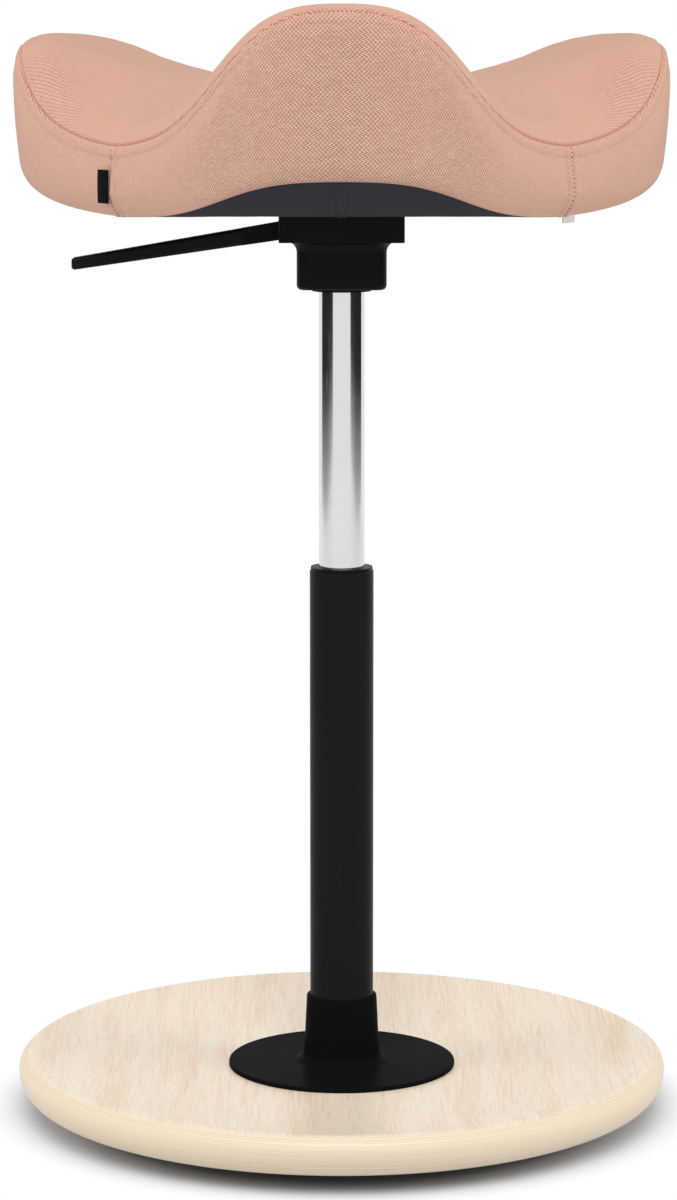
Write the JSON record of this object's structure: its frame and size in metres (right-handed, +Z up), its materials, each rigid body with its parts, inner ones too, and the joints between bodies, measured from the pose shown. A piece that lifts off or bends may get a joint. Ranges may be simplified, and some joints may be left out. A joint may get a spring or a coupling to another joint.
{
  "type": "wobble stool",
  "caption": "Height-adjustable wobble stool: three-lobed upholstered saddle seat on a chromed gas-lift column with a release lever and a dished plywood rocker base.",
  "frame": {"origin": "middle of the flat spot of the rubber sole that the stool stands on, on the column's axis", "axes": "+Z up along the column, -Y towards the front lobe of the seat, +X to the sitter's left, on the right of a view from the front"},
  "size_m": [0.407, 0.423, 0.6782],
  "materials": {
    "birch_edge": "satin",
    "birch_face": "satin",
    "shell_ply": "matte",
    "sole_rubber": "matte",
    "flange_paint": "satin",
    "tube_paint": "satin",
    "housing_paint": "satin",
    "lever_paint": "satin",
    "zinc_steel": "satin",
    "bearing_steel": "polished",
    "rod_steel": "polished",
    "cylinder_chrome": "polished",
    "valve_alloy": "satin",
    "bush_plastic": "matte",
    "cage_plastic": "satin",
    "grip_plastic": "matte",
    "piston_plastic": "satin",
    "seal_rubber": "matte",
    "seat_padding": "matte",
    "cover_fabric": "matte",
    "underside_fabric": "matte",
    "black_label": "matte",
    "pale_label": "matte"
  },
  "bodies": {
    "base": {"base_plywood_core": "birch_edge", "base_top_veneer": "birch_face", "base_bottom_veneer": "birch_face", "base_sole": "sole_rubber", "column_flange": "flange_paint", "flange_studs": "zinc_steel", "stud_washers": "zinc_steel", "stud_nuts": "zinc_steel", "column_tube": "tube_paint", "tube_foot": "zinc_steel", "guide_bush": "bush_plastic", "thrust_race_lower": "bearing_steel"},
    "spindle": {"piston_rod": "rod_steel", "rod_clip": "zinc_steel", "rod_washer": "zinc_steel", "rod_buffer": "seal_rubber", "piston": "piston_plastic", "piston_seal": "seal_rubber", "piston_nut": "zinc_steel", "thrust_race_upper": "bearing_steel", "thrust_balls": "bearing_steel", "thrust_cage": "cage_plastic"},
    "seat": {"pressure_cylinder": "cylinder_chrome", "rod_gland": "piston_plastic", "valve_body": "valve_alloy", "housing_ring": "bush_plastic", "mechanism_housing": "housing_paint", "lever_pivot_pin": "zinc_steel", "seat_underside_cover": "underside_fabric", "seat_shell": "shell_ply", "seat_foam": "seat_padding", "seat_top_cover": "cover_fabric", "seat_band_front": "cover_fabric", "seat_band_right": "cover_fabric", "seat_band_left": "cover_fabric", "seat_screws": "zinc_steel", "seat_tee_nuts": "zinc_steel", "seat_side_tag": "black_label", "seat_care_tab": "pale_label"},
    "lever": {"lever_arm": "lever_paint", "lever_grip": "grip_plastic"},
    "valve_pin": {"release_pin": "rod_steel"}
  },
  "joints": [
    {"name": "swivel", "type": "hinge", "parent": "base", "child": "spindle", "pos_m": [0, 0, 0.05], "axis": [0, 0, 1], "continuous": true},
    {"name": "height", "type": "slide", "parent": "spindle", "child": "seat", "axis": [0, 0, 1], "range_m": [-0.155, 0.05]},
    {"name": "lever_lift", "type": "hinge", "parent": "seat", "child": "lever", "pos_m": [-0.02, 0, 0.54792], "axis": [0, 1, 0], "range_deg": [0, 6], "stiffness_Nm_per_rad": 1.5, "springref_deg": -6.88},
    {"name": "valve_press", "type": "slide", "parent": "seat", "child": "valve_pin", "axis": [0, 0, -1], "range_m": [0, 0.0023]}
  ],
  "couplings": [
    {"joint": "valve_press", "follows": "lever_lift", "m_per_rad": 0.021}
  ]
}
